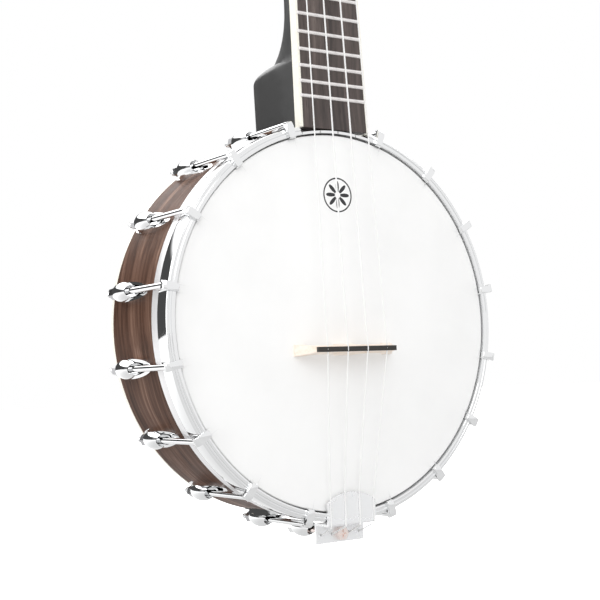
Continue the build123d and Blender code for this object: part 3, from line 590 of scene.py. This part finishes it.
# %% Tension hoop
def arc(bm, profile, start, angle, steps):
    """Spin a profile through part of a turn and close both ends; angles run from the top of the pot."""
    turn = Matrix.Rotation(start, 4, "Y")
    verts = [bm.verts.new(pot_centre + turn @ Vector((0, y, r))) for r, y in profile]
    edges = [bm.edges.new((a, b)) for a, b in zip(verts, verts[1:] + verts[:1])]
    bm.faces.new(verts)
    swept = bmesh.ops.spin(bm, geom=verts + edges, cent=pot_centre, axis=(0, 1, 0), angle=angle, steps=steps)
    last = [g for g in swept["geom_last"] if isinstance(g, bmesh.types.BMEdge)]
    bmesh.ops.contextual_create(bm, geom=last)


def hoop_profile():
    bead, groove = 0.6 * MM, hoop_inner + 2.2 * MM
    return eased([(hoop_inner, 0), (groove - 0.3 * MM, 0), (groove, 0.35 * MM), (groove + 0.3 * MM, 0),
                  (hoop_r - 2 * bead, 0), (hoop_r - 2 * bead, bead), (hoop_r - bead, bead),
                  (hoop_r, 2 * bead), (hoop_r, hoop_back), (hoop_inner, hoop_back)],
                 [0.5 * MM, 0.1 * MM, 0, 0.1 * MM, 0.4 * MM, 0.15 * MM, 0.2 * MM, 0.3 * MM, 0.4 * MM,
                  0.3 * MM])


def notched_profile():
    lip = hoop_inner + NOTCH_LIP
    return [(hoop_inner, 0), (lip, 0), (lip, NOTCH_FLOOR), (hoop_r, NOTCH_FLOOR), (hoop_r, hoop_back),
            (hoop_inner, hoop_back)]


bm = bmesh.new()
gap = math.asin(notch_half / hoop_r)
arc(bm, hoop_profile(), gap, 2 * math.pi - 2 * gap, ROUND)
arc(bm, notched_profile(), -gap, 2 * gap, 24)
piece("tension_hoop_finished", bm, chrome, stands_for=["tension_hoop"])

# %% [markdown]
# ## Drumhead and flesh hoop
# The film is stretched over the rim's front and turned down inside the hoop, where its edge is gripped by an
# aluminium flesh hoop. The film and its turned-down collar are one spun sheet with a soft bend, and the flesh
# hoop is a flat band with rounded corners.

# %% Drumhead with its collar
def film_profile():
    bend = 0.8 * MM
    thick = film_back - film_front
    edge = depth("drumhead_collar")[1] - pot_centre.y
    outside = eased([(0.0, film_front), (collar_r, film_front), (collar_r, edge)], [0, bend, 0], 4)
    inside = eased([(collar_r - thick, edge), (collar_r - thick, film_back), (0.0, film_back)],
                   [0, bend - thick, 0], 4)
    return outside + inside


bm = bmesh.new()
spun(bm, film_profile())
piece("drumhead_film", bm, film, stands_for=["drumhead", "drumhead_collar"])

# %% Flesh hoop
def flat_band(inner, outer, front, back, ease):
    return eased([(inner, front), (outer, front), (outer, back), (inner, back)], [ease] * 4)


bm = spun(bmesh.new(), flat_band(collar_r + FLESH_AIR, flesh_r, flesh_front, flesh_back, 0.5 * MM))
piece("flesh_hoop_finished", bm, spun_aluminium, stands_for=["flesh_hoop"])

# %% [markdown]
# ## Bracket hooks
# Sixteen hooks pull the tension hoop down over the head. Each is a round rod with a thread at its far end,
# turned over at the front into a flat claw that grips the hoop. One hook is made at the top of the pot, its
# claw drawn as a side view, widened and bevelled, and its rod spun from a profile whose ridges stand for the
# thread: they are rings, not a helix. Copies of it are then turned round the pot's axis.

# %% One hook
HOOKS_PER_SIDE = 8
FIRST_HOOK = 16.4
HOOK_STEP = 21.25
HOOK_TURNS = [side * (FIRST_HOOK + HOOK_STEP * k) for side in (-1, 1) for k in range(HOOKS_PER_SIDE)]
CLAW_THICK = 1.6 * MM
CLAW_NARROW = 1.9 * MM
CLAW_FLARE = 0.3 * MM
CLAW_EDGE = 0.35 * MM
ROD_GAP = 0.5 * MM
THREAD_FROM = 42.0 * MM
THREAD_PITCH = 1.5 * MM
THREAD_SUNK = 0.38 * MM
rod_radius = 1.6 * MM
hook_centre = hoop_r + ROD_GAP + rod_radius
hook_back = depth("bracket_hooks")[1] - pot_centre.y


def claw(bm):
    """The flat claw, drawn as (depth, radius) and narrower at its lip."""
    low, high = hoop_inner - 0.8 * MM, hook_centre + rod_radius
    lip = low + 0.6 * MM
    side_view = eased([(-CLAW_THICK, low), (-CLAW_THICK, high), (1.4 * MM, high),
                       (1.4 * MM, high - 2 * rod_radius), (0, high - 2 * rod_radius), (0, lip),
                       (0.8 * MM, lip), (0.8 * MM, low)],
                      [0.7 * MM, 2.6 * MM, 0.4 * MM, 0, 0, 0, 0.25 * MM, 0.4 * MM], 5)
    rims = []
    for side in (-1, 1):
        outline = [Vector((side * (CLAW_NARROW + CLAW_FLARE * (r - low) / (high - low)), y, r))
                   for y, r in side_view]
        rims.append([bm.verts.new(pot_centre + point) for point in outline])
    caps = [bm.faces.new(rim) for rim in rims]
    left, right = rims
    for k in range(len(left)):
        bm.faces.new((left[k - 1], left[k], right[k], right[k - 1]))
    edges = list({e for cap in caps for e in cap.edges})
    bmesh.ops.bevel(bm, geom=edges, offset=CLAW_EDGE, offset_type="OFFSET", segments=BEVEL_SEGMENTS,
                    profile=0.5, affect="EDGES", material=-1)


def threaded_rod(bm):
    """A rod along +Y behind the claw; the thread is a row of ridges."""
    profile = [(0, 0), (rod_radius, 0), (rod_radius, THREAD_FROM)]
    y, root = THREAD_FROM, rod_radius - THREAD_SUNK
    while y + THREAD_PITCH < hook_back - 0.5 * MM:
        profile += [(root, y + 0.3 * THREAD_PITCH), (root, y + 0.5 * THREAD_PITCH),
                    (rod_radius, y + 0.8 * THREAD_PITCH), (rod_radius, y + THREAD_PITCH)]
        y += THREAD_PITCH
    profile += [(rod_radius - 0.4 * MM, hook_back), (0, hook_back)]
    spun(bm, profile, pot_centre + Vector((0, 0, hook_centre)), steps=20)


# %% Sixteen hooks
def round_the_pot(make, turns):
    """A bmesh holding a copy of one shape, made at the top of the pot, for each turn in degrees."""
    one = bmesh.new()
    make(one)
    template = bpy.data.meshes.new("template")
    one.to_mesh(template)
    one.free()
    many = bmesh.new()
    for turn in turns:
        before = len(many.verts)
        many.from_mesh(template)
        many.verts.ensure_lookup_table()
        bmesh.ops.rotate(many, verts=many.verts[before:], cent=pot_centre,
                         matrix=Matrix.Rotation(math.radians(turn), 3, "Y"))
    bpy.data.meshes.remove(template)
    return many


def hook(bm):
    claw(bm)
    threaded_rod(bm)


piece("bracket_hooks_finished", round_the_pot(hook, HOOK_TURNS), chrome,
      stands_for=["bracket_hooks"])

# %% [markdown]
# ## The other pieces
# Every node that nothing above stands for keeps its CAD shape and is finished as a smooth-shaded copy. Its
# slot chooses the material, except for the tailpiece bolt's own look and the hook nuts' dark painted shade.

# %% Finish the CAD nodes that stay
slots = {s["node"]: s["material_slot"] for s in frame["record"]["subparts"]}
look = {"rim_wood": walnut, "binding": ivoroid, "tone_ring": brass, "drumhead": film,
        "flesh_hoop": spun_aluminium, "chrome": chrome, "tailpiece": sheet_chrome, "screws": zinc,
        "neck": black_lacquer, "fretboard": rosewood, "frets": nickel, "dots": pearl, "bridge": maple,
        "ebony": ebony, "string": nylon, "gear": brass, "button": pearl}
# the bolt has a look of its own; the hook nuts' dark grey is painted shade
looks_by_node = {"tailpiece_bolt": warm_nickel, "hook_nuts": painted_shade_nut}
bevels = {"tailpiece_bolt": 0.25 * MM}
for name in sorted(frame["nodes"]):
    if not frame["nodes"][name].hide_render:
        polished(name, looks_by_node.get(name, look[slots[name]]), bevels.get(name, 0.0))

# %% [markdown]
# ## Floor and light
# A white studio: a pale floor, bright walls in front and overhead, and a dark wall low behind the banjo. The
# dark wall is what gives chrome its black lines. The floor and the world look white to the camera and greyer
# in reflections, so that the plated pieces keep their shading.

# %% Pale floor
FLOOR_HALF = 9.0
FLOOR_DROP = 0.10


def stage_floor():
    bm = bmesh.new()
    bmesh.ops.create_grid(bm, x_segments=1, y_segments=1, size=FLOOR_HALF,
                          matrix=Matrix.Translation((0, 0, cad_box[0].z - FLOOR_DROP)))
    mesh = bpy.data.meshes.new("floor")
    bm.to_mesh(mesh)
    bm.free()
    floor = bpy.data.objects.new("floor", mesh)
    bpy.context.scene.collection.objects.link(floor)
    pale = Finish("pale floor", Roughness=0.9, Emission_Color=(1, 1, 1, 1))
    tree = pale.tree
    seen = add(tree, "LightPath").outputs["Is Camera Ray"]
    split = add(tree, "SeparateXYZ")
    tree.links.new(pale.place, split.inputs[0])
    far = add(tree, "MapRange", From_Min=0.1, From_Max=0.7, To_Min=0.27, To_Max=0.8)
    tree.links.new(split.outputs["Y"], far.inputs[0])
    shade = ramp(tree, seen, [(0.0, (0.32, 0.32, 0.32)), (1.0, (0.88, 0.88, 0.88))])
    pale.feed("Base Color", shade)
    glow = math_node(tree, "ADD", math_node(tree, "MULTIPLY", seen, 0.3), far.outputs[0])
    pale.feed("Emission Strength", glow)
    mesh.materials.append(pale.material)


stage_floor()


# %% Studio walls and lamps
def area_light(name, place, size, power, aim):
    data = bpy.data.lights.new(name, "AREA")
    data.shape = "RECTANGLE"
    data.size, data.size_y = size
    data.energy = power
    lamp = bpy.data.objects.new(name, data)
    lamp.location = place
    lamp.rotation_mode = "QUATERNION"
    lamp.rotation_quaternion = (Vector(aim) - Vector(place)).to_track_quat("-Z", "Y")
    bpy.context.scene.collection.objects.link(lamp)


FRONT, WALL, CEILING = 0.95, 0.07, 2.8


def make_studio():
    """Bright in front, a dark wall low behind the banjo, and a bright bank of light above that wall."""
    world = bpy.data.worlds.new("studio")
    bpy.context.scene.world = world
    world.use_nodes = True
    tree = world.node_tree
    background = tree.nodes["Background"]
    split = add(tree, "SeparateXYZ")
    tree.links.new(add(tree, "TexCoord").outputs["Generated"], split.inputs[0])

    def fade(socket, low, high, bottom=0.0, top=1.0):
        made = add(tree, "MapRange", From_Min=low, From_Max=high, To_Min=bottom, To_Max=top,
                   interpolation_type="SMOOTHSTEP")
        tree.links.new(socket, made.inputs[0])
        return made.outputs[0]

    behind = fade(split.outputs[1], 0.15, 0.45)
    height = fade(split.outputs[2], 0.36, 0.46, WALL, CEILING)
    back = math_node(tree, "MULTIPLY", behind, math_node(tree, "SUBTRACT", height, FRONT))
    shade = math_node(tree, "ADD", back, FRONT)
    seen = add(tree, "LightPath").outputs["Is Camera Ray"]
    blend = add(tree, "Mix", data_type="FLOAT", B=1.0)
    tree.links.new(seen, blend.inputs["Factor"])
    tree.links.new(shade, blend.inputs["A"])
    tree.links.new(blend.outputs[0], background.inputs["Strength"])
    background.inputs["Color"].default_value = (1, 1, 1, 1)


make_studio()
area_light("key", pot_centre + Vector((-0.6, -1.4, 0.9)), (1.0, 1.0), 6.0, pot_centre)
area_light("left strip", pot_centre + Vector((-1.3, -0.2, 0.5)), (0.3, 1.4), 4.5,
           pot_centre + Vector((0, 0, 0.1)))
bpy.context.scene.view_settings.view_transform = "Standard"

# %% Camera
CAMERA_FROM_POT = Vector((-0.3811, -0.5166, -0.0276))
CAMERA_TURN = (93.54, 2.21, -34.32)
CAMERA_LENS = 73.95

camera_data = bpy.data.cameras.new("camera")
camera_data.sensor_width = 36.0
camera_data.lens = CAMERA_LENS
camera_data.clip_start = 0.01
camera = bpy.data.objects.new("camera", camera_data)
camera.location = pot_centre + CAMERA_FROM_POT
camera.rotation_euler = [math.radians(a) for a in CAMERA_TURN]
bpy.context.scene.collection.objects.link(camera)
bpy.context.scene.camera = camera

# %% Finish
import json
